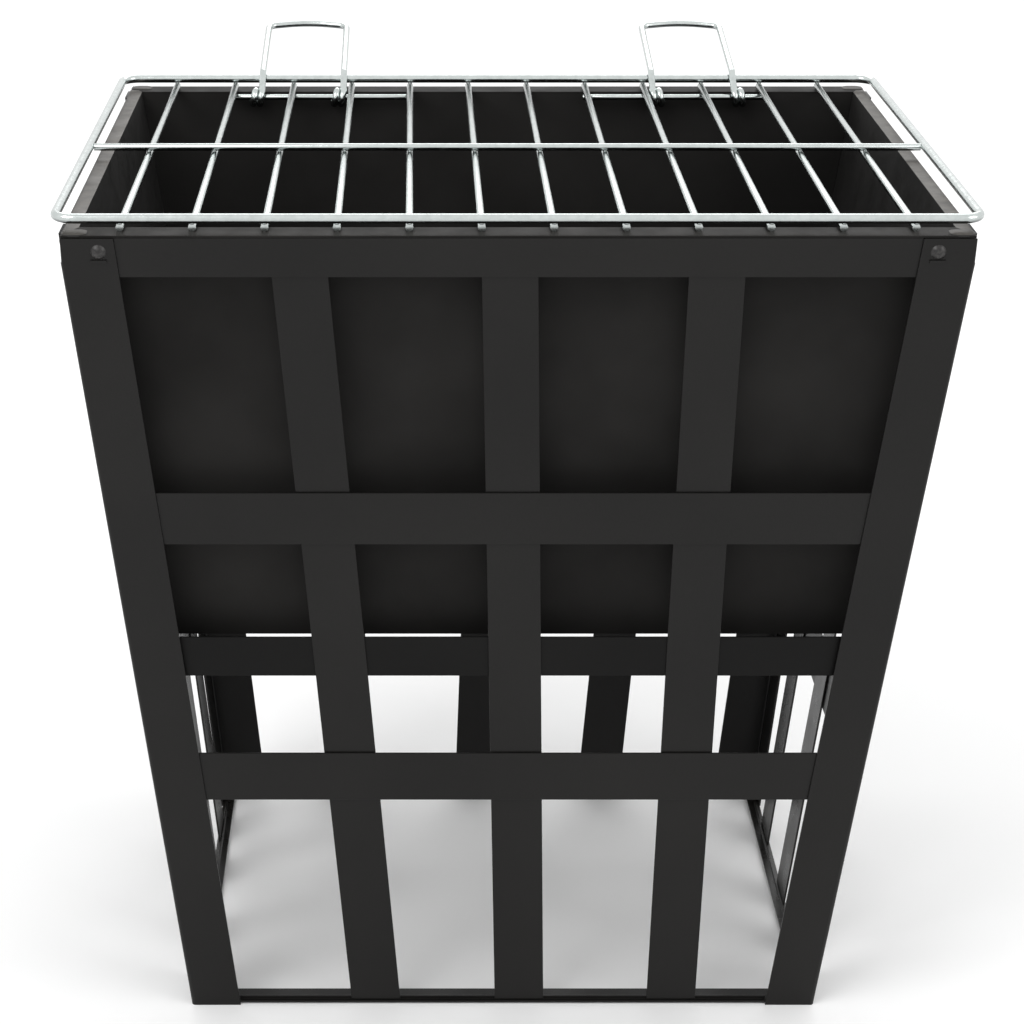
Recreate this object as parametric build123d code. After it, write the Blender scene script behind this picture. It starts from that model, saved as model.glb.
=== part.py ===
from build123d import *
import math
import os

# Fire pit with grate: a leaning steel lattice frame, a hanging fire box and a chromed wire grate.
#
# The frame is a pyramid cut off at top and bottom: four lattice faces that narrow towards the floor.
# A face's parts lie in layers, outside to inside: corner posts, horizontal rails, upright slats, tie bar.
# Everything is drawn round the frame's middle, with +Z up, +X to the right and the handles on the +Y
# side. Last of all it is moved along Y, so that the origin is on the floor under the overall middle.

# ---------------------------------------------------------------- driving dimensions, mm
# Frame
TOP_WIDTH, BASE_WIDTH = 453.6, 358.2      # outside, along X
TOP_DEPTH, BASE_DEPTH = 341.0, 262.8      # outside, along Y
FRAME_HEIGHT = 467.0                      # floor to the frame's top edge
SHEET = 1.2                               # gauge of all the frame's sheet
BEND = 2.2                                # outside radius where sheet is folded
POST_LEG = 28.0                           # width of each leg of a corner angle
RELIEF_X, RELIEF_Y = 1.9, 10.0            # notch in each post's folded corner, along X and along Y
RELIEF_HEIGHT = 13.0                      # from the post's top edge down
POST_SETBACK = 7.0                        # a rail's end stops this short of the corner
RAIL_TOP_HEIGHT = 20.3                    # upright web of the top rails
RAIL_TOP_FLANGE = 7.0                     # their inward flange, under the fire box's rim
MID_RAIL = (298.1, 327.8)                 # lower and upper edge of the middle rails
LOW_RAIL = (139.8, 169.9)                 # lower and upper edge of the lower rails
SLAT_WIDTH = 28.0
SLAT_TOP_GAP = 3.0                        # a slat ends this far under the frame's top edge
FOOT_GAP = 1.0                            # the bottom rails stay this far off the floor
BOTTOM_UPSTAND = 1.8                      # rear lip of the bottom rails, behind the slats
BOTTOM_FLANGE = {"front": 14.0, "right": 8.5}
TIE_BAR = (217.6, 241.4)                  # lower and upper edge of the tie bars
TIE_FLANGE = 9.0                          # their inward flange, at the lower edge

# Slat centres along a face, (at the frame's top edge, at the floor); opposite faces are the
# same part turned half round, so each list serves two faces
SLATS = {
    "front": [(-109.3, -72.9), (-4.3, 9.4), (98.8, 96.8)],
    "right": [(-86.0, -66.0), (-26.0, -12.0), (70.0, 61.0)],
}

# Corner bolts, one through each leg of each post near the top
BOLT_INSET = 19.7                         # from the corner edge, along the face
BOLT_DROP = 6.9                           # below the top edge
BOLT_RADIUS, BOLT_HOLE_RADIUS = 2.0, 2.2
BOLT_HEAD_RADIUS, BOLT_HEAD_HEIGHT = 3.8, 2.0
BOLT_LENGTH = 6.4                         # under the head
NUT_FLATS, NUT_HEIGHT, NUT_FIT = 7.0, 2.8, 0.05
CUT_REACH = 5.0                           # a cutter reaches this far beyond what it cuts
TAB_DROP, TAB_WIDTH, TAB_HEIGHT, TAB_PROUD = 11.8, 8.0, 1.5, 0.8   # pressed rib under each bolt

# Fire box: hangs in the frame by its rim
BOX_SHEET = 1.2
RIM_WIDTH, RIM_DEPTH = 449.6, 338.0       # outside of the folded rim
BOX_FLOOR = 235.5                         # height of the box's underside
BOX_TOP_INSET = {"x": 6.2, "y": 14.5}     # wall to the rim's edge, at the top
BOX_BASE_INSET = 20.0                     # wall to frame, at the underside
VENT_RADIUS, VENT_COLUMNS, VENT_ROWS, VENT_PITCH = 6.0, 7, 4, 46.0
VENT_CUT = 1.0                            # a vent's cutter runs this far past each side of the floor

# Grate: cross bars welded under a ring of thicker wire
GRATE_WIDTH, GRATE_DEPTH = 463.0, 327.0   # outside
RING_RADIUS = 2.5                         # radius of the ring's wire
RING_CORNER = 10.0                        # centre line radius of its corners
BAR_RADIUS, BAR_COUNT, BAR_PITCH = 2.0, 12, 35.7
BAR_OVERHANG = 0.5                        # a bar runs this far past the ring's centre line
CENTRE_ROD_RADIUS, CENTRE_ROD_Y = 2.0, -12.0
WELD = 0.02                               # depth that crossing wires sink into each other
HINGE_RADIUS = 1.75                       # the short rods that the handles swing on
HINGE_Y = 146.4
HINGE_END_PITCHES = (1.45, 4.55)          # their ends, in bar pitches from the middle

# Handles: bails of bent wire, with an eye at each end round a hinge rod
HANDLE_RADIUS = 2.0                       # radius of the wire
HANDLE_CENTRE_X = 118.75
HANDLE_WIDTH = 49.5                       # between the centre lines of the legs
HANDLE_REACH = 76.0                       # straight leg beyond the ring's wire
HANDLE_BOW = 6.0                          # rise of the grip's middle
HANDLE_CORNER, HANDLE_BOW_RADIUS = 6.0, 58.0
HANDLE_REST = 10.0                        # degrees above level, resting on the ring
EYE_TURN = 255.0                          # degrees of wire round the hinge rod
CLEARANCE = 0.3                           # between a handle's wire and what it touches

# ---------------------------------------------------------------- worked-out levels
RIM_TOP = FRAME_HEIGHT + BOX_SHEET
BAR_Z = RIM_TOP + BAR_RADIUS
RING_Z = RIM_TOP + 2 * BAR_RADIUS + RING_RADIUS - WELD
ROD_Z = RIM_TOP + 2 * BAR_RADIUS + CENTRE_ROD_RADIUS - WELD
HINGE_Z = RIM_TOP - HINGE_RADIUS + WELD
RING_HALF_X = GRATE_WIDTH / 2 - RING_RADIUS
RING_HALF_Y = GRATE_DEPTH / 2 - RING_RADIUS
PLATE_TOP = FOOT_GAP + SHEET
FACES = ("front", "right", "back", "left")
TWIN = {"front": "front", "back": "front", "right": "right", "left": "right"}


def half_width(z):
    """Half the frame's outside width at height z."""
    return (BASE_WIDTH + (TOP_WIDTH - BASE_WIDTH) * z / FRAME_HEIGHT) / 2


def half_depth(z):
    """Half the frame's outside depth at height z."""
    return (BASE_DEPTH + (TOP_DEPTH - BASE_DEPTH) * z / FRAME_HEIGHT) / 2


def half_span(face, z):
    """Half the outside length of a face at height z."""
    return half_width(z) if TWIN[face] == "front" else half_depth(z)


def face_point(face, along, inset, z):
    """Point on a leaning face: a distance along it, an inset behind its outside, and a height."""
    if face == "front":
        return Vector(along, inset - half_depth(z), z)
    if face == "back":
        return Vector(-along, half_depth(z) - inset, z)
    if face == "right":
        return Vector(half_width(z) - inset, along, z)
    return Vector(inset - half_width(z), -along, z)


def face_plane(face, along, z):
    """Plane on the outside of a face, with its normal pointing away from the frame."""
    here = face_point(face, along, 0, z)
    sideways = face_point(face, along + 1, 0, z) - here
    upwards = face_point(face, along, 0, z + 1) - here
    return Plane(here, x_dir=sideways, z_dir=sideways.cross(upwards))


def ruled(low, high):
    """Solid with flat sides between two polygons that have the same number of corners."""
    return Solid.make_loft([Wire.make_polygon(low), Wire.make_polygon(high)], ruled=True)


def strip(face, low_span, high_span, heights, insets):
    """Flat piece of sheet on a face. The spans are its two ends along the face, low and high."""
    def outline(span, z):
        corners = [(span[0], insets[0]), (span[1], insets[0]), (span[1], insets[1]), (span[0], insets[1])]
        return [face_point(face, along, inset, z) for along, inset in corners]
    return ruled(outline(low_span, heights[0]), outline(high_span, heights[1]))


def rail_strip(face, heights, insets, setback):
    """Horizontal strip on a face whose ends stay a set distance from the corner edges."""
    ends = [half_span(face, z) - setback for z in heights]
    return strip(face, (-ends[0], ends[0]), (-ends[1], ends[1]), heights, insets)


def joined(first, *others):
    """One solid made of pieces that touch or overlap."""
    return first.fuse(*others).clean().solids()[0]


def edge_between(solid, low, high):
    """The solid's edge that runs from one point to the other."""
    middle = (low + high) / 2
    return min(solid.edges(), key=lambda edge: (edge.center() - middle).length)


# ---------------------------------------------------------------- frame
def bolt_places(face):
    """Distances along a face of the bolts at its two ends, and their height."""
    z = FRAME_HEIGHT - BOLT_DROP
    reach = half_span(face, z) - BOLT_INSET
    return [(-reach, z), (reach, z)]


def bolt_hole(face, along, z):
    """Cutter for one bolt hole through the post leg and the rail behind it."""
    start = face_plane(face, along, z).offset(-CUT_REACH)
    return Solid.make_cylinder(BOLT_HOLE_RADIUS, 2 * CUT_REACH, start)


def relief(sign_x, sign_y):
    """Cutter for the notch at the top of a post's folded corner."""
    near = (TOP_WIDTH / 2 - RELIEF_X, TOP_DEPTH / 2 - RELIEF_Y)
    far = (TOP_WIDTH / 2 + CUT_REACH, TOP_DEPTH / 2 + CUT_REACH)
    corners = [near, (far[0], near[1]), far, (near[0], far[1])]
    ends = [[Vector(sign_x * x, sign_y * y, z) for x, y in corners]
            for z in (FRAME_HEIGHT - RELIEF_HEIGHT, FRAME_HEIGHT + CUT_REACH)]
    return ruled(*ends)


def post(sign_x, sign_y):
    """Corner angle: two legs folded along the leaning corner edge, with its bolt holes and ribs."""
    def outline(z):
        w, d = half_width(z), half_depth(z)
        corners = [(w, d), (w - POST_LEG, d), (w - POST_LEG, d - SHEET),
                   (w - SHEET, d - SHEET), (w - SHEET, d - POST_LEG), (w, d - POST_LEG)]
        return [Vector(sign_x * x, sign_y * y, z) for x, y in corners]
    low, high = outline(0), outline(FRAME_HEIGHT)
    angle = ruled(low, high)
    angle = angle.fillet(BEND, [edge_between(angle, low[0], high[0])])
    angle = angle.fillet(BEND - SHEET, [edge_between(angle, low[3], high[3])])
    for face in FACES:
        for along, z in bolt_places(face):
            place = face_point(face, along, 0, z)
            if place.X * sign_x < 0 or place.Y * sign_y < 0:
                continue
            angle = angle.cut(bolt_hole(face, along, z)).solids()[0]
            angle = joined(angle, rib(face, along))
    return angle.cut(relief(sign_x, sign_y)).solids()[0]


def rib(face, along):
    """Short pressed rib under a bolt head."""
    z = FRAME_HEIGHT - TAB_DROP
    span = (along - TAB_WIDTH / 2, along + TAB_WIDTH / 2)
    return strip(face, span, span, (z - TAB_HEIGHT / 2, z + TAB_HEIGHT / 2), (-TAB_PROUD, SHEET / 2))


def top_rail(face):
    """Top rail: an upright web behind the post legs, with a narrow flange folded inwards."""
    web = rail_strip(face, (FRAME_HEIGHT - RAIL_TOP_HEIGHT, FRAME_HEIGHT), (SHEET, 2 * SHEET), POST_SETBACK)
    flange = rail_strip(face, (FRAME_HEIGHT - SHEET, FRAME_HEIGHT), (SHEET, RAIL_TOP_FLANGE), POST_SETBACK)
    rail = joined(web, flange)
    for along, z in bolt_places(face):
        rail = rail.cut(bolt_hole(face, along, z)).solids()[0]
    return rail


def flat_rail(face, heights):
    """Flat horizontal rail, lapped behind the post legs."""
    return rail_strip(face, heights, (SHEET, 2 * SHEET), POST_SETBACK)


def bottom_rail(face):
    """Bottom rail: a flange that lies just off the floor, with a low upstand behind the slats."""
    flange_width = BOTTOM_FLANGE[TWIN[face]]
    heights = (FOOT_GAP, PLATE_TOP)
    if TWIN[face] == "front":
        setback = SHEET + BEND
    else:
        setback = BOTTOM_FLANGE["front"]
    flange = rail_strip(face, heights, (SHEET, flange_width), setback)
    upstand = rail_strip(face, (PLATE_TOP, PLATE_TOP + BOTTOM_UPSTAND), (3 * SHEET, 4 * SHEET), POST_LEG)
    return joined(flange, upstand)


def slat(face, centres):
    """Upright slat behind the rails, leaning from its place at the top to its place at the floor."""
    heights = (PLATE_TOP, FRAME_HEIGHT - SLAT_TOP_GAP)
    spans = []
    for z in heights:
        middle = centres[1] + (centres[0] - centres[1]) * z / FRAME_HEIGHT
        spans.append((middle - SLAT_WIDTH / 2, middle + SLAT_WIDTH / 2))
    return strip(face, spans[0], spans[1], heights, (2 * SHEET, 3 * SHEET))


def tie_bar(face):
    """Tie bar across the inside of a face: an angle with its flange at the lower edge."""
    web = rail_strip(face, TIE_BAR, (3 * SHEET, 4 * SHEET), 2 * SHEET + BEND)
    low = (TIE_BAR[0], TIE_BAR[0] + SHEET)
    flange = rail_strip(face, low, (4 * SHEET, 3 * SHEET + TIE_FLANGE), POST_LEG)
    return joined(web, flange)


def tie_bar_lugs(face):
    """End lugs of a tie bar, that fill the gap between its web and the post legs."""
    lugs = []
    for end in (-1, 1):
        spans = []
        for z in TIE_BAR:
            outer = end * (half_span(face, z) - 2 * SHEET - BEND)
            inner = end * (half_span(face, z) - POST_LEG + 2 * SHEET)
            spans.append((min(outer, inner), max(outer, inner)))
        lugs.append(strip(face, spans[0], spans[1], TIE_BAR, (SHEET, 3 * SHEET)))
    return lugs


def bolt(face, along, z):
    """Bolt with a plain domed head on the outside of a post."""
    plane = face_plane(face, along, z)
    sphere_radius = (BOLT_HEAD_RADIUS ** 2 + BOLT_HEAD_HEIGHT ** 2) / (2 * BOLT_HEAD_HEIGHT)
    dome = Solid.make_sphere(sphere_radius, plane.offset(BOLT_HEAD_HEIGHT - sphere_radius))
    blank = Solid.make_cylinder(BOLT_HEAD_RADIUS + 1, BOLT_HEAD_HEIGHT + 1, plane)
    head = dome.intersect(blank).solids()[0]
    shank = Solid.make_cylinder(BOLT_RADIUS, BOLT_LENGTH, plane.offset(-BOLT_LENGTH))
    return joined(head, shank)


def nut(face, along, z):
    """Hexagon nut on the inside, against the top rail."""
    plane = face_plane(face, along, z).offset(-2 * SHEET - NUT_HEIGHT)
    hexagon = RegularPolygon(NUT_FLATS / 2, 6, major_radius=False)
    blank = extrude(plane * hexagon, NUT_HEIGHT, dir=plane.z_dir)
    bore = Solid.make_cylinder(BOLT_RADIUS + NUT_FIT, NUT_HEIGHT, plane)
    return blank.solids()[0].cut(bore).solids()[0]


# ---------------------------------------------------------------- fire box
def box_half(z):
    """Half the fire box's outside width and depth at height z."""
    share = (z - BOX_FLOOR) / (FRAME_HEIGHT - BOX_FLOOR)
    base = (half_width(BOX_FLOOR) - BOX_BASE_INSET, half_depth(BOX_FLOOR) - BOX_BASE_INSET)
    top = (RIM_WIDTH / 2 - BOX_TOP_INSET["x"], RIM_DEPTH / 2 - BOX_TOP_INSET["y"])
    return [low + (high - low) * share for low, high in zip(base, top)]


def turned(face, x, y, z):
    """Point of the front or right part, turned half round for its twin on the other side."""
    return Vector(x, y, z) if face in ("front", "right") else Vector(-x, -y, z)


def mitred(face, outer, inner, z):
    """Trapezium between two rectangles of half sizes (x, y), on one side of them."""
    (wide, deep), (narrow, shallow) = outer, inner
    if TWIN[face] == "front":
        corners = [(-wide, -deep), (wide, -deep), (narrow, -shallow), (-narrow, -shallow)]
    else:
        corners = [(wide, -deep), (wide, deep), (narrow, shallow), (narrow, -shallow)]
    return [turned(face, x, y, z) for x, y in corners]


def box_wall(face):
    """Fire box wall with its rim folded outwards over the frame's top rail; the corners are mitred."""
    def wall_section(z):
        outer = box_half(z)
        return mitred(face, outer, [half - BOX_SHEET for half in outer], z)

    def rim_section(z):
        outer = (RIM_WIDTH / 2, RIM_DEPTH / 2)
        return mitred(face, outer, [half - BOX_SHEET for half in box_half(FRAME_HEIGHT)], z)
    wall = ruled(wall_section(BOX_FLOOR), wall_section(FRAME_HEIGHT))
    rim = ruled(rim_section(FRAME_HEIGHT), rim_section(RIM_TOP))
    return joined(wall, rim)


def box_floor():
    """Fire box floor between the walls, with rows of air holes."""
    def section(z):
        x, y = [half - BOX_SHEET for half in box_half(z)]
        return [Vector(-x, -y, z), Vector(x, -y, z), Vector(x, y, z), Vector(-x, y, z)]
    floor = ruled(section(BOX_FLOOR), section(BOX_FLOOR + BOX_SHEET))
    depth = BOX_SHEET + 2 * VENT_CUT
    holes = []
    for column in range(VENT_COLUMNS):
        for row in range(VENT_ROWS):
            x = (column - (VENT_COLUMNS - 1) / 2) * VENT_PITCH
            y = (row - (VENT_ROWS - 1) / 2) * VENT_PITCH
            holes.append(Solid.make_cylinder(VENT_RADIUS, depth, Plane((x, y, BOX_FLOOR - VENT_CUT))))
    return floor.cut(*holes).solids()[0]


# ---------------------------------------------------------------- grate
def rod(start, end, radius):
    """Straight round rod between two points."""
    start, end = Vector(start), Vector(end)
    return Solid.make_cylinder(radius, (end - start).length, Plane(start, z_dir=end - start))


def swept(path, radius):
    """Round wire along a path of lines and arcs."""
    start = Plane(path @ 0, z_dir=path % 0)
    return sweep(start * Circle(radius), path=path).solids()[0]


def grate_ring():
    """Outer ring of the grate: one wire with four rounded corners."""
    outline = RectangleRounded(2 * RING_HALF_X, 2 * RING_HALF_Y, RING_CORNER)
    path = (Plane((0, 0, RING_Z)) * outline).faces()[0].outer_wire()
    return swept(path, RING_RADIUS)


def bar_x(index):
    """Place of a cross bar along X."""
    return (index - (BAR_COUNT - 1) / 2) * BAR_PITCH


def cross_bar(index):
    """One cross bar, welded under the ring at front and back."""
    reach = RING_HALF_Y + BAR_OVERHANG
    return rod((bar_x(index), -reach, BAR_Z), (bar_x(index), reach, BAR_Z), BAR_RADIUS)


def centre_rod():
    """Long rod across the top of the bars, butted against the ring's two sides."""
    reach = RING_HALF_X - RING_RADIUS
    return rod((-reach, CENTRE_ROD_Y, ROD_Z), (reach, CENTRE_ROD_Y, ROD_Z), CENTRE_ROD_RADIUS)


def hinge_rod(side):
    """Short rod under four bars, near the back, that a handle swings on."""
    ends = [side * BAR_PITCH * pitches for pitches in HINGE_END_PITCHES]
    return rod((ends[0], HINGE_Y, HINGE_Z), (ends[1], HINGE_Y, HINGE_Z), HINGE_RADIUS)


# ---------------------------------------------------------------- handles
def around(centre, radius, degrees, x):
    """Point at an angle round an axis along X: 0 is towards the back, 90 is up."""
    angle = math.radians(degrees)
    return Vector(x, centre[0] + radius * math.cos(angle), centre[1] + radius * math.sin(angle))


def handle_leg(x):
    """Edges of one leg from the end of its eye to its straight part, and that part's end point."""
    hinge, ring = (HINGE_Y, HINGE_Z), (RING_HALF_Y, RING_Z)
    eye = HINGE_RADIUS + CLEARANCE + HANDLE_RADIUS
    hump = RING_RADIUS + CLEARANCE + HANDLE_RADIUS
    rise, run = ring[1] - hinge[1], ring[0] - hinge[0]
    slope = math.degrees(math.atan2(rise, run) + math.asin((hump - eye) / math.hypot(rise, run)))
    leave = slope + 90
    eye_arc = ThreePointArc(around(hinge, eye, leave + EYE_TURN, x),
                            around(hinge, eye, leave + EYE_TURN / 2, x),
                            around(hinge, eye, leave, x))
    climb = Line(eye_arc @ 1, around(ring, hump, leave, x))
    over = ThreePointArc(climb @ 1,
                         around(ring, hump, (leave + HANDLE_REST + 90) / 2, x),
                         around(ring, hump, HANDLE_REST + 90, x))
    return [eye_arc, climb, over], over @ 1


def handle(side):
    """Bail handle at rest on the ring: two legs, each with an eye, and a bowed grip between them."""
    half = HANDLE_WIDTH / 2
    left, start = handle_leg(side * HANDLE_CENTRE_X - half)
    right, finish = handle_leg(side * HANDLE_CENTRE_X + half)
    outwards = Vector(0, math.cos(math.radians(HANDLE_REST)), math.sin(math.radians(HANDLE_REST)))
    middle = (start + finish) / 2 + outwards * (HANDLE_REACH + HANDLE_BOW)
    grip = FilletPolyline(start, start + outwards * HANDLE_REACH, middle, finish + outwards * HANDLE_REACH,
                          finish, radius=[HANDLE_CORNER, HANDLE_BOW_RADIUS, HANDLE_CORNER])
    path = Wire([*left, *grip.edges(), *reversed(right)])
    return swept(path, HANDLE_RADIUS)


# ---------------------------------------------------------------- every node
def build():
    """Every node by name, round the frame's middle."""
    nodes = {}
    for name, sign_x, sign_y in (("front_left", -1, -1), ("front_right", 1, -1),
                                 ("back_left", -1, 1), ("back_right", 1, 1)):
        nodes[f"post_{name}"] = post(sign_x, sign_y)
    for face in FACES:
        nodes[f"top_rail_{face}"] = top_rail(face)
        nodes[f"middle_rail_{face}"] = flat_rail(face, MID_RAIL)
        nodes[f"lower_rail_{face}"] = flat_rail(face, LOW_RAIL)
        nodes[f"bottom_rail_{face}"] = bottom_rail(face)
        for number, centres in enumerate(SLATS[TWIN[face]], start=1):
            nodes[f"slat_{face}_{number}"] = slat(face, centres)
    for face in ("front", "back"):
        nodes[f"tie_bar_{face}"] = joined(tie_bar(face), *tie_bar_lugs(face))
    places = [(face, along, z) for face in FACES for along, z in bolt_places(face)]
    nodes["corner_bolts"] = Compound([bolt(*place) for place in places])
    nodes["corner_nuts"] = Compound([nut(*place) for place in places])
    for face in FACES:
        nodes[f"fire_box_wall_{face}"] = box_wall(face)
    nodes["fire_box_floor"] = box_floor()
    nodes["grate_ring"] = grate_ring()
    for index in range(BAR_COUNT):
        nodes[f"grate_bar_{index + 1:02d}"] = cross_bar(index)
    nodes["grate_centre_rod"] = centre_rod()
    for name, side in (("left", -1), ("right", 1)):
        nodes[f"hinge_rod_{name}"] = hinge_rod(side)
        nodes[f"handle_{name}"] = handle(side)
    return nodes


def centred(nodes):
    """The nodes moved along Y, so that the middle of their overall box is above the origin."""
    boxes = [shape.bounding_box() for shape in nodes.values()]
    middle = (min(box.min.Y for box in boxes) + max(box.max.Y for box in boxes)) / 2
    return {name: shape.moved(Location((0, -middle, 0))) for name, shape in nodes.items()}


os.makedirs("parts", exist_ok=True)
for name, shape in centred(build()).items():
    export_step(shape, f"parts/{name}.step")
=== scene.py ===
import math

import bmesh
import bpy
from mathutils import Matrix, Vector


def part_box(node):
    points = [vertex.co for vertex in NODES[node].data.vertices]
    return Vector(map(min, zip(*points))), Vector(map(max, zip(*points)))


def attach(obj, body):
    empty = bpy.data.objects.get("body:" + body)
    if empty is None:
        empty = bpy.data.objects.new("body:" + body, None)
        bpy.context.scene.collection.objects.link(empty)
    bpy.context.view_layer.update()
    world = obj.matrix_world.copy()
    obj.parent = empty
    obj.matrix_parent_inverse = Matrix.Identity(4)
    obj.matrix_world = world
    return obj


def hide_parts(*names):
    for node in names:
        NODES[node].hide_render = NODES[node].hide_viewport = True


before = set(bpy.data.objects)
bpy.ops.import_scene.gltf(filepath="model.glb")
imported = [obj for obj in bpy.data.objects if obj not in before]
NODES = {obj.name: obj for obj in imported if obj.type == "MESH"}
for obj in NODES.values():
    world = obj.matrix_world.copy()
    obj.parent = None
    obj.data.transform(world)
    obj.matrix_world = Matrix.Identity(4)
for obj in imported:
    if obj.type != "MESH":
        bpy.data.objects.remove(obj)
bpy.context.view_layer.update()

# Fire pit with grate. The frame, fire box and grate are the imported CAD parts, and most of their cut
# edges are softened. Made here: the handles with their wound eyes, the weld nuggets of the grate,
# the rim's folded corners, every material, and the studio.

MM = 0.001
FACES = ("front", "right", "back", "left")

# Wire sizes and handle shape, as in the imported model
RING_RADIUS = 2.5 * MM
BAR_RADIUS = 2.0 * MM
HANDLE_RADIUS = 2.0 * MM
HINGE_RADIUS = 1.75 * MM
CLEARANCE = 0.3 * MM
HANDLE_REACH, HANDLE_BOW = 76.0 * MM, 6.0 * MM
HANDLE_CORNER, HANDLE_BOW_RADIUS = 6.0 * MM, 58.0 * MM
HANDLE_REST = math.radians(10)
EYE_TURN = math.radians(560)              # of wire round the hinge rod
EYE_GAP = 0.15 * MM                       # between one turn of an eye and the next
CUT_END = 0.35 * MM                       # chamfer at a wire's cut end

# Rim corners
LAP_HALF_X, LAP_HALF_Y = 6.5 * MM, 5.5 * MM
LAP_CROWN, LAP_LIP, LAP_PROUD = 0.9 * MM, 1.4 * MM, 0.1 * MM
LAP_SQUARENESS = 3.4                      # 2 would be an ellipse

# Weld nuggets, half sizes
WELD_WIDE, WELD_THIN = 1.3 * MM, 0.6 * MM

# Softened edges
WELD_DISTANCE = 0.01 * MM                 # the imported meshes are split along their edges
SOFT_ANGLE = math.radians(40)             # edges that turn more than this are softened
SHEET_EDGE, RIM_EDGE, ROD_EDGE, BAR_EDGE = 0.25 * MM, 0.3 * MM, 0.35 * MM, 0.8 * MM

# Camera, from the frame's middle
LENS, SHIFT_X = 86.38, 0.0966
CAMERA_X, CAMERA_BACK, CAMERA_HEIGHT = -0.0517, 1.3354, 0.7972
CAMERA_TILT = math.radians(67.834)        # 90 would be level
LIGHT_AIM_HEIGHT = 0.25
SKY_STRENGTH, FLOOR_ALBEDO, FLOOR_HALF = 1.0, 0.88, 20.0


# ---------------------------------------------------------------- measures read from the frame
def middle(node):
    """Middle of a CAD node's box."""
    low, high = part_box(node)
    return (low + high) / 2


FRAME_Y = (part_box("post_front_left")[0].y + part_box("post_back_left")[1].y) / 2
RIM_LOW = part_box("fire_box_wall_front")[0]
RIM_HIGH = Vector((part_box("fire_box_wall_right")[1].x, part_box("fire_box_wall_back")[1].y,
                   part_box("fire_box_wall_front")[1].z))
RING = middle("grate_ring")
RING_FRONT_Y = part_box("grate_ring")[0].y + RING_RADIUS
RING_BACK_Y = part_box("grate_ring")[1].y - RING_RADIUS
HINGE = middle("hinge_rod_left")
CENTRE_ROD = middle("grate_centre_rod")
BARS = sorted(name for name in NODES if name.startswith("grate_bar_"))


# ---------------------------------------------------------------- camera, light and floor
def aim(thing, place, target):
    """Puts a light at a place, shining at a target."""
    thing.location = place
    thing.rotation_euler = (Vector(target) - Vector(place)).to_track_quat("-Z", "Y").to_euler()


def make_camera():
    """Camera in front, a little left of the middle, looking down at the top of the frame."""
    data = bpy.data.cameras.new("camera")
    data.lens = LENS
    data.shift_x = SHIFT_X
    data.clip_end = 100
    camera = bpy.data.objects.new("camera", data)
    camera.location = (CAMERA_X, FRAME_Y - CAMERA_BACK, CAMERA_HEIGHT)
    camera.rotation_euler = (CAMERA_TILT, 0, 0)
    bpy.context.scene.collection.objects.link(camera)
    bpy.context.scene.camera = camera


def softbox(name, place, width, height, power):
    """Rectangular light that shines at the middle of the frame."""
    data = bpy.data.lights.new(name, "AREA")
    data.shape = "RECTANGLE"
    data.size, data.size_y = width, height
    data.energy = power
    light = bpy.data.objects.new(name, data)
    aim(light, place, (0, FRAME_Y, LIGHT_AIM_HEIGHT))
    bpy.context.scene.collection.objects.link(light)


def make_studio():
    """Large softboxes round a pale floor, under an even pale sky."""
    softbox("key_softbox", (-1.6, -1.5, 2.3), 1.6, 1.6, 30)
    softbox("fill_softbox", (2.2, -1.3, 1.6), 1.6, 1.6, 15)
    softbox("back_softbox", (0.2, 2.4, 2.2), 2.4, 1.2, 24)
    world = bpy.data.worlds.new("sky")
    world.use_nodes = True
    world.node_tree.nodes["Background"].inputs["Color"].default_value = (1.0, 1.0, 1.0, 1)
    world.node_tree.nodes["Background"].inputs["Strength"].default_value = SKY_STRENGTH
    bpy.context.scene.world = world
    mesh = bpy.data.meshes.new("floor")
    signs = ((-1, -1), (1, -1), (1, 1), (-1, 1))
    mesh.from_pydata([(x * FLOOR_HALF, y * FLOOR_HALF, 0) for x, y in signs], [], [(0, 1, 2, 3)])
    floor = bpy.data.objects.new("floor", mesh)
    bpy.context.scene.collection.objects.link(floor)
    material = bpy.data.materials.new("pale_floor")
    material.use_nodes = True
    shader = material.node_tree.nodes["Principled BSDF"]
    shader.inputs["Base Color"].default_value = (FLOOR_ALBEDO, FLOOR_ALBEDO, FLOOR_ALBEDO, 1)
    shader.inputs["Roughness"].default_value = 0.7
    mesh.materials.append(material)
    bpy.context.scene.view_settings.view_transform = "Standard"


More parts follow.
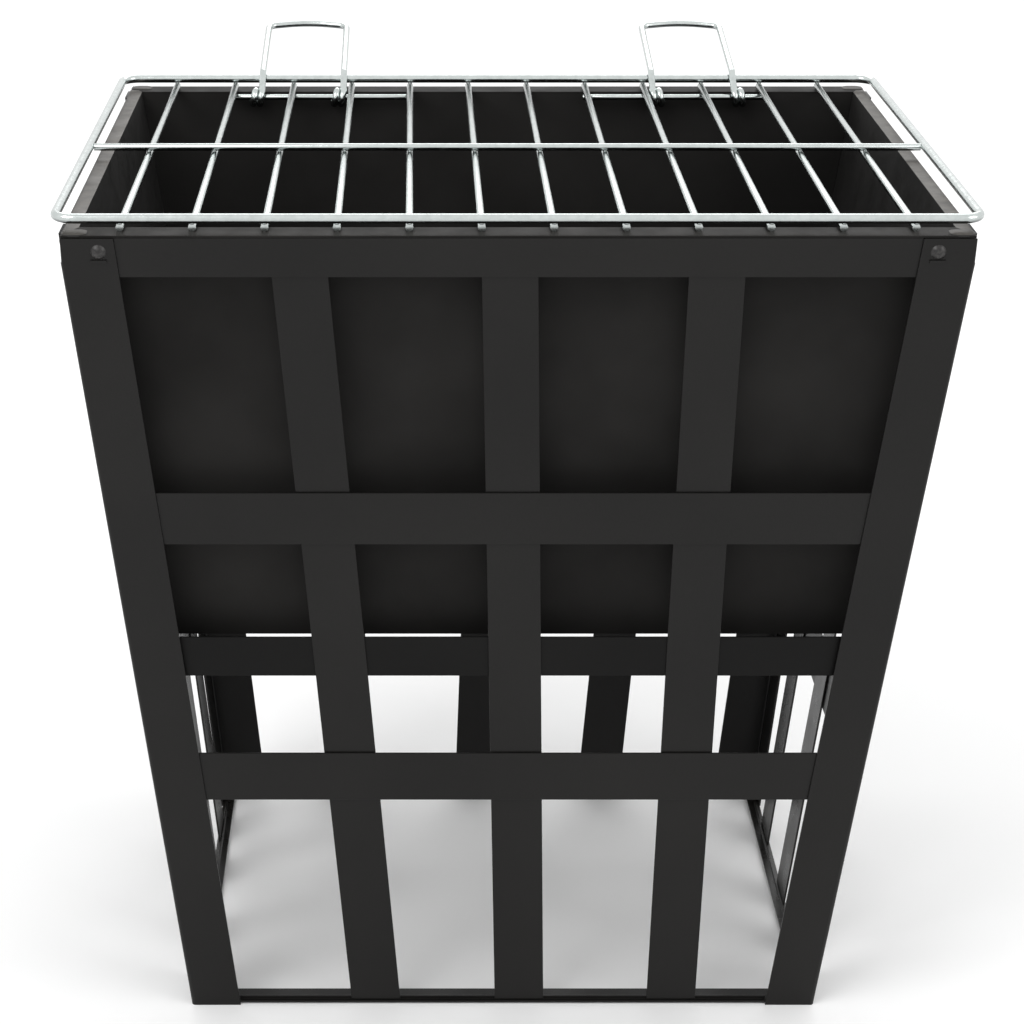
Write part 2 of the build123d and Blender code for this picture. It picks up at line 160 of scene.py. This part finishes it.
# ---------------------------------------------------------------- material nodes
class Graph:
    """A material with a Principled shader, and short calls that add nodes to it."""

    def __init__(self, name, **uniform):
        self.material = bpy.data.materials.new(name)
        self.material.use_nodes = True
        self.tree = self.material.node_tree
        self.shader = self.tree.nodes["Principled BSDF"]
        for socket, value in uniform.items():
            self.shader.inputs[socket.replace("_", " ")].default_value = value
        self.place = self.node("ShaderNodeTexCoord").outputs["Object"]

    def node(self, kind, **settings):
        made = self.tree.nodes.new(kind)
        for key, value in settings.items():
            setattr(made, key, value)
        return made

    def link(self, source, target):
        self.tree.links.new(source, target)

    def stretched(self, x, y, z):
        """Object coordinates scaled along each axis."""
        mapping = self.node("ShaderNodeMapping")
        mapping.inputs["Scale"].default_value = (x, y, z)
        self.link(self.place, mapping.inputs["Vector"])
        return mapping.outputs["Vector"]

    def height(self, vector):
        """A vector's Z."""
        made = self.node("ShaderNodeSeparateXYZ")
        self.link(vector, made.inputs["Vector"])
        return made.outputs["Z"]

    def upward(self):
        """How far the surface faces up: 1 is straight up, and -1 straight down."""
        return self.height(self.node("ShaderNodeNewGeometry").outputs["Normal"])

    def noise(self, scale, detail=3.0, where=None):
        made = self.node("ShaderNodeTexNoise")
        made.inputs["Scale"].default_value = scale
        made.inputs["Detail"].default_value = detail
        self.link(where or self.place, made.inputs["Vector"])
        return made.outputs["Fac"]

    def span(self, value, low, high, to_low, to_high):
        """A value's range from low to high spread over another range, and clamped to it."""
        made = self.node("ShaderNodeMapRange")
        settings = (("From Min", low), ("From Max", high), ("To Min", to_low), ("To Max", to_high))
        for socket, number in settings:
            made.inputs[socket].default_value = number
        self.link(value, made.inputs["Value"])
        return made.outputs["Result"]

    def maths(self, operation, first, second):
        made = self.node("ShaderNodeMath", operation=operation)
        for socket, value in zip(made.inputs, (first, second)):
            if isinstance(value, (int, float)):
                socket.default_value = value
            else:
                self.link(value, socket)
        return made.outputs["Value"]

    def mixed(self, share, first, second):
        """Colour between two, each a colour or a socket."""
        made = self.node("ShaderNodeMix", data_type="RGBA")
        self.link(share, made.inputs["Factor"])
        sockets = [socket for socket in made.inputs if socket.type == "RGBA"]
        for socket, value in zip(sockets, (first, second)):
            if isinstance(value, tuple):
                socket.default_value = (*value, 1)
            else:
                self.link(value, socket)
        return next(socket for socket in made.outputs if socket.type == "RGBA")

    def colour(self, source):
        self.link(source, self.shader.inputs["Base Color"])

    def roughness(self, source):
        self.link(source, self.shader.inputs["Roughness"])

    def bumps(self, *layers):
        """Layers of (height, depth in metres), one on the other."""
        normal = None
        for height, depth in layers:
            made = self.node("ShaderNodeBump")
            made.inputs["Distance"].default_value = depth
            self.link(height, made.inputs["Height"])
            if normal:
                self.link(normal, made.inputs["Normal"])
            normal = made.outputs["Normal"]
        self.link(normal, self.shader.inputs["Normal"])


def coated_steel(name, dark, light, gloss, sheen=0.2):
    """Satin black powder coat: faint clouds, fine speckle and an orange-peel surface."""
    graph = Graph(name, Specular_IOR_Level=sheen)
    clouds = graph.noise(7, 4)
    speckle = graph.noise(1400, 1)
    shade = graph.maths("ADD", graph.maths("MULTIPLY", clouds, 0.7), graph.maths("MULTIPLY", speckle, 0.3))
    graph.colour(graph.mixed(graph.span(shade, 0.35, 0.65, 0, 1), dark, light))
    streaks = graph.noise(40, 3)
    graph.roughness(graph.span(streaks, 0.3, 0.7, gloss - 0.04, gloss + 0.05))
    graph.bumps((graph.noise(620, 2), 0.00006), (graph.noise(2600, 2), 0.00002))
    return graph.material


def wire(name, stretch):
    """Bright chromed wire with faint drawing lines and uneven plating. It is tinted darker underneath,
    in place of the dark things that real chrome would mirror there."""
    graph = Graph(name, Metallic=1.0)
    lines = graph.noise(1, 3, graph.stretched(*stretch))
    plating = graph.noise(260, 3)
    bright = graph.mixed(graph.span(plating, 0.35, 0.7, 0, 1), (0.64, 0.68, 0.67), (0.57, 0.61, 0.60))
    graph.colour(graph.mixed(graph.span(graph.upward(), -0.55, 0.15, 1, 0), bright, (0.14, 0.15, 0.15)))
    graph.roughness(graph.span(lines, 0.3, 0.7, 0.16, 0.24))
    graph.bumps((plating, 0.000015), (lines, 0.00001))
    return graph.material


def fire_box_steel(side):
    """The fire box's coat: duller than the frame's, with a lighter rim on its flat top. The rim's light
    colour is partly scuffs where the grate rests on the rim and partly painted sheen, stronger on some sides
    than others.
    """
    # Per side: the specular level, and how strongly the lighter rim colour shows. The left and right rims get
    # far more of that colour than the front and back. This is painted sheen for the light their tops catch,
    # on top of the scuff wear.
    sheen, strength = {"left": (0.3, 0.55), "right": (0.3, 0.52), "corner": (0.2, 0.38),
                       "front": (0.04, 0.08)}.get(side, (0.06, 0.02))
    graph = Graph(f"fire_box_steel_{side}", Specular_IOR_Level=sheen)
    clouds = graph.noise(11, 5)
    coat = graph.mixed(graph.span(clouds, 0.35, 0.65, 0, 1), (0.0125, 0.012, 0.0115), (0.0195, 0.0188, 0.018))
    flat = graph.span(graph.upward(), 0.7, 0.95, 0, 1)
    top = graph.span(graph.height(graph.place), RIM_HIGH.z - 3 * MM, RIM_HIGH.z - 1 * MM, 0, 1)
    rim = graph.maths("MULTIPLY", flat, top)
    scuffs = graph.noise(150, 6)
    # Lighter rim colour on the flat tops, broken up by scuffs: part wear, part painted sheen.
    rim_wear_and_painted_sheen = graph.maths("MULTIPLY", rim, graph.span(scuffs, 0.3, 0.7, 0.45 * strength, strength))
    graph.colour(graph.mixed(rim_wear_and_painted_sheen, coat, (0.20, 0.185, 0.165)))
    graph.roughness(graph.span(graph.noise(60, 3), 0.3, 0.7, 0.42, 0.56))
    graph.bumps((graph.noise(620, 2), 0.00005), (scuffs, 0.00004))
    return graph.material


def fastener_steel():
    """Blackened fasteners with a slight gloss and fine tool marks."""
    graph = Graph("blackened_fasteners", Specular_IOR_Level=0.5, Metallic=0.3)
    marks = graph.noise(900, 4)
    graph.colour(graph.mixed(graph.span(marks, 0.4, 0.7, 0, 1), (0.016, 0.015, 0.015), (0.04, 0.038, 0.036)))
    graph.roughness(graph.span(marks, 0.3, 0.7, 0.28, 0.42))
    graph.bumps((marks, 0.00005))
    return graph.material


# ---------------------------------------------------------------- CAD nodes
def soften(node, width, segments):
    """Rounds a CAD node's cut edges by modifiers; its own mesh stays as it is."""
    weld = node.modifiers.new("weld", "WELD")
    weld.merge_threshold = WELD_DISTANCE
    bevel = node.modifiers.new("bevel", "BEVEL")
    bevel.width = width
    bevel.segments = segments
    bevel.limit_method = "ANGLE"
    bevel.angle_limit = SOFT_ANGLE


def dress(node, material):
    """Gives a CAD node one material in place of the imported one."""
    for slot in node.material_slots:
        slot.material = material


def dress_nodes(wires):
    """Gives every CAD node its material, and softens the cut edges."""
    frame_coat = coated_steel("coated_frame_steel", (0.0052, 0.0049, 0.0046), (0.0090, 0.0085, 0.0079), 0.33)
    slat_coat = coated_steel("coated_slat_steel", (0.0054, 0.0051, 0.0048), (0.0092, 0.0087, 0.0081), 0.34)
    # Side slats and side bottom rails: a lighter copy of the frame's coat with more specular. The lighter
    # colour is painted sheen, standing in for the grazing light on their inner faces.
    side_coat_painted_sheen = coated_steel("coated_side_steel_painted_sheen", (0.0072, 0.0066, 0.0060), (0.0112, 0.0104, 0.0095),
                             0.28, sheen=0.30)
    # Tie bars: a darker copy of the frame's coat, painted shade for the shadow they sit in inside the frame.
    inner_coat_painted_shade = coated_steel("coated_inner_steel_painted_shade", (0.0030, 0.0029, 0.0028), (0.0056, 0.0054, 0.0051),
                              0.42, sheen=0.12)
    fasteners = fastener_steel()
    for face in FACES:
        dress(NODES[f"fire_box_wall_{face}"], fire_box_steel(face))
        soften(NODES[f"fire_box_wall_{face}"], RIM_EDGE, 2)
    dress(NODES["fire_box_floor"], fire_box_steel("floor"))
    # Start of a node's name, its material, and its edge width and steps. The first match counts.
    # The top rails stay sharp: their long thin faces between bolt holes would show the softening.
    looks = (
        (("top_rail",), frame_coat, None),
        (("slat_left", "slat_right", "bottom_rail_left", "bottom_rail_right"), side_coat_painted_sheen, (SHEET_EDGE, 2)),
        (("tie_bar",), inner_coat_painted_shade, (SHEET_EDGE, 2)),
        (("post", "middle", "lower", "bottom"), frame_coat, (SHEET_EDGE, 2)),
        (("slat",), slat_coat, (SHEET_EDGE, 2)),
        (("corner",), fasteners, None),
        (("grate_bar",), wires["along_y"], (BAR_EDGE, 3)),
        (("grate_centre", "hinge"), wires["along_x"], (ROD_EDGE, 2)),
        (("grate_ring",), wires["bent"], None),
    )
    for name, node in NODES.items():
        for starts, material, edge in looks:
            if name.startswith(starts):
                dress(node, material)
                if edge:
                    soften(node, *edge)
                break


# ---------------------------------------------------------------- pieces
def add_piece(name, mesh_maker, material, body):
    """New smooth-shaded mesh piece on a CAD body."""
    mesh = bpy.data.meshes.new(name)
    made = bmesh.new()
    mesh_maker(made)
    bmesh.ops.recalc_face_normals(made, faces=made.faces)
    for face in made.faces:
        face.smooth = True
    made.to_mesh(mesh)
    made.free()
    mesh.materials.append(material)
    piece = bpy.data.objects.new(name, mesh)
    bpy.context.scene.collection.objects.link(piece)
    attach(piece, body)
    return piece


def tube(made, path, radius, sides=20):
    """Round wire along a path of points, with its cut ends chamfered."""
    count = len(path)
    tangents = [(path[min(i + 1, count - 1)] - path[max(i - 1, 0)]).normalized() for i in range(count)]
    across = tangents[0].orthogonal().normalized()
    rings = []

    def ring(centre, tangent, size):
        up = tangent.cross(across)
        turns = [2 * math.pi * side / sides for side in range(sides)]
        points = [centre + size * (math.cos(turn) * across + math.sin(turn) * up) for turn in turns]
        rings.append([made.verts.new(point) for point in points])

    for index, (point, tangent) in enumerate(zip(path, tangents)):
        across = (across - tangent * across.dot(tangent)).normalized()
        if index == 0:
            ring(point - CUT_END * tangent, tangent, radius - CUT_END)
        ring(point, tangent, radius)
        if index == count - 1:
            ring(point + CUT_END * tangent, tangent, radius - CUT_END)
    for first, second in zip(rings, rings[1:]):
        for side in range(sides):
            other = (side + 1) % sides
            made.faces.new((first[side], first[other], second[other], second[side]))
    made.faces.new(rings[0])
    made.faces.new(reversed(rings[-1]))


def filleted(points, radii, step=0.8 * MM):
    """Points along straight runs between corners that are rounded to the given radii."""
    path = [points[0]]
    for before, corner, after, radius in zip(points, points[1:], points[2:], radii):
        inward, outward = (before - corner).normalized(), (after - corner).normalized()
        half = inward.angle(outward) / 2
        centre = corner + (inward + outward).normalized() * radius / math.sin(half)
        start = corner + inward * radius / math.tan(half) - centre
        turn = math.pi - 2 * half
        axis = start.cross(outward).normalized()
        steps = max(6, round(radius * turn / step))
        for number in range(steps + 1):
            path.append(centre + Matrix.Rotation(turn * number / steps, 3, axis) @ start)
    path.append(points[-1])
    return path


def eye_path(x, outer):
    """Wound eye of one leg and its climb over the ring, from the cut end to the straight part."""
    winding = HINGE_RADIUS + CLEARANCE + HANDLE_RADIUS
    hump = RING_RADIUS + CLEARANCE + HANDLE_RADIUS
    run, rise = RING_BACK_Y - HINGE.y, RING.z - HINGE.z
    leave = math.atan2(rise, run) + math.asin((hump - winding) / math.hypot(rise, run)) + math.pi / 2
    pitch, steps = 2 * HANDLE_RADIUS + EYE_GAP, 72
    path = []
    for step in range(steps + 1):
        back = EYE_TURN * (1 - step / steps)
        angle = leave + back
        path.append(Vector((x + outer * pitch * back / (2 * math.pi),
                            HINGE.y + winding * math.cos(angle), HINGE.z + winding * math.sin(angle))))
    over, steps = HANDLE_REST + math.pi / 2, 10
    for step in range(steps + 1):
        angle = leave + (over - leave) * step / steps
        path.append(Vector((x, RING_BACK_Y + hump * math.cos(angle), RING.z + hump * math.sin(angle))))
    return path


def handle(made, side):
    """Bail of bent wire: two wound eyes, two straight legs and a bowed grip."""
    low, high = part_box("handle_left" if side < 0 else "handle_right")
    inner, outer = sorted((low.x + HANDLE_RADIUS, high.x - HANDLE_RADIUS), key=abs)
    near = eye_path(outer, side)
    far = eye_path(inner, side)
    outwards = Vector((0, math.cos(HANDLE_REST), math.sin(HANDLE_REST)))
    start, finish = near[-1], far[-1]
    top = (start + finish) / 2 + outwards * (HANDLE_REACH + HANDLE_BOW)
    corners = [start, start + outwards * HANDLE_REACH, top, finish + outwards * HANDLE_REACH, finish]
    grip = filleted(corners, (HANDLE_CORNER, HANDLE_BOW_RADIUS, HANDLE_CORNER))
    tube(made, near + grip[1:-1] + far[::-1], HANDLE_RADIUS)


def nugget(made, place, size):
    """Small flattened bead at the touching point of two crossed wires."""
    shape = Matrix.Translation(place) @ Matrix.Diagonal((*size, 1))
    bmesh.ops.create_icosphere(made, subdivisions=3, radius=1, matrix=shape)


def welds(made):
    """A nugget wherever a bar meets the ring, the centre rod or a hinge rod."""
    flat = (WELD_WIDE, WELD_WIDE, WELD_THIN)
    hinges = [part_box(f"hinge_rod_{side}") for side in ("left", "right")]
    for name in BARS:
        bar = middle(name)
        for y in (RING_FRONT_Y, RING_BACK_Y, CENTRE_ROD.y):
            nugget(made, Vector((bar.x, y, bar.z + BAR_RADIUS)), flat)
        for low, high in hinges:
            if low.x < bar.x < high.x:
                nugget(made, Vector((bar.x, HINGE.y, bar.z - BAR_RADIUS)), flat)
    low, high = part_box("grate_ring")
    for x in (low.x + 2 * RING_RADIUS, high.x - 2 * RING_RADIUS):
        nugget(made, Vector((x, CENTRE_ROD.y, CENTRE_ROD.z)), (WELD_THIN, WELD_WIDE, WELD_WIDE))


def rim_corner(made, sign_x, sign_y):
    """Folded corner of the fire box's rim: one flange's end laps over the next, and is crowned."""
    edge_y = RIM_HIGH.y if sign_y > 0 else RIM_LOW.y
    centre = Vector((sign_x * (RIM_HIGH.x + LAP_PROUD - LAP_HALF_X),
                     edge_y + sign_y * (LAP_PROUD - LAP_HALF_Y), RIM_HIGH.z))
    rings, sides = 8, 40
    power = 2 / LAP_SQUARENESS

    def outline(share, z):
        points = []
        for side in range(sides):
            turn = 2 * math.pi * side / sides
            c, s = math.cos(turn), math.sin(turn)
            x = LAP_HALF_X * share * math.copysign(abs(c) ** power, c)
            y = LAP_HALF_Y * share * math.copysign(abs(s) ** power, s)
            points.append(made.verts.new(centre + Vector((x, y, z))))
        return points

    loops = [outline(1.0, -LAP_LIP)]
    for number in range(rings):
        share = 1 - number / rings
        loops.append(outline(share, 0.05 * MM + LAP_CROWN * (1 - share ** 3) ** 0.8))
    for first, second in zip(loops, loops[1:]):
        for side in range(sides):
            other = (side + 1) % sides
            made.faces.new((first[side], first[other], second[other], second[side]))
    made.faces.new(loops[0])
    made.faces.new(loops[-1])


def make_pieces(wires):
    """The handles in place of the plain CAD ones, the welds and the rim's corners."""
    for side, name in ((-1, "left"), (1, "right")):
        piece = add_piece(f"handle_{name}_wire", lambda made: handle(made, side), wires["bent"],
                          f"{name}_handle")
        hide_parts(f"handle_{name}")
    add_piece("grate_welds", welds, wires["bent"], "grate")
    # The rim's corners take the fire box coat with a middling share of its lighter rim colour: part wear,
    # part painted sheen.
    corner_coat = fire_box_steel("corner")
    for sign_y, depth in ((-1, "front"), (1, "back")):
        for sign_x, name in ((-1, "left"), (1, "right")):
            add_piece(f"rim_corner_{depth}_{name}", lambda made: rim_corner(made, sign_x, sign_y),
                      corner_coat, "fire_box")


make_camera()
make_studio()
WIRES = {
    "along_y": wire("chromed_bar", (900, 12, 900)),
    "along_x": wire("chromed_rod", (12, 900, 900)),
    "bent": wire("chromed_bent_wire", (300, 300, 300)),
}
dress_nodes(WIRES)
make_pieces(WIRES)
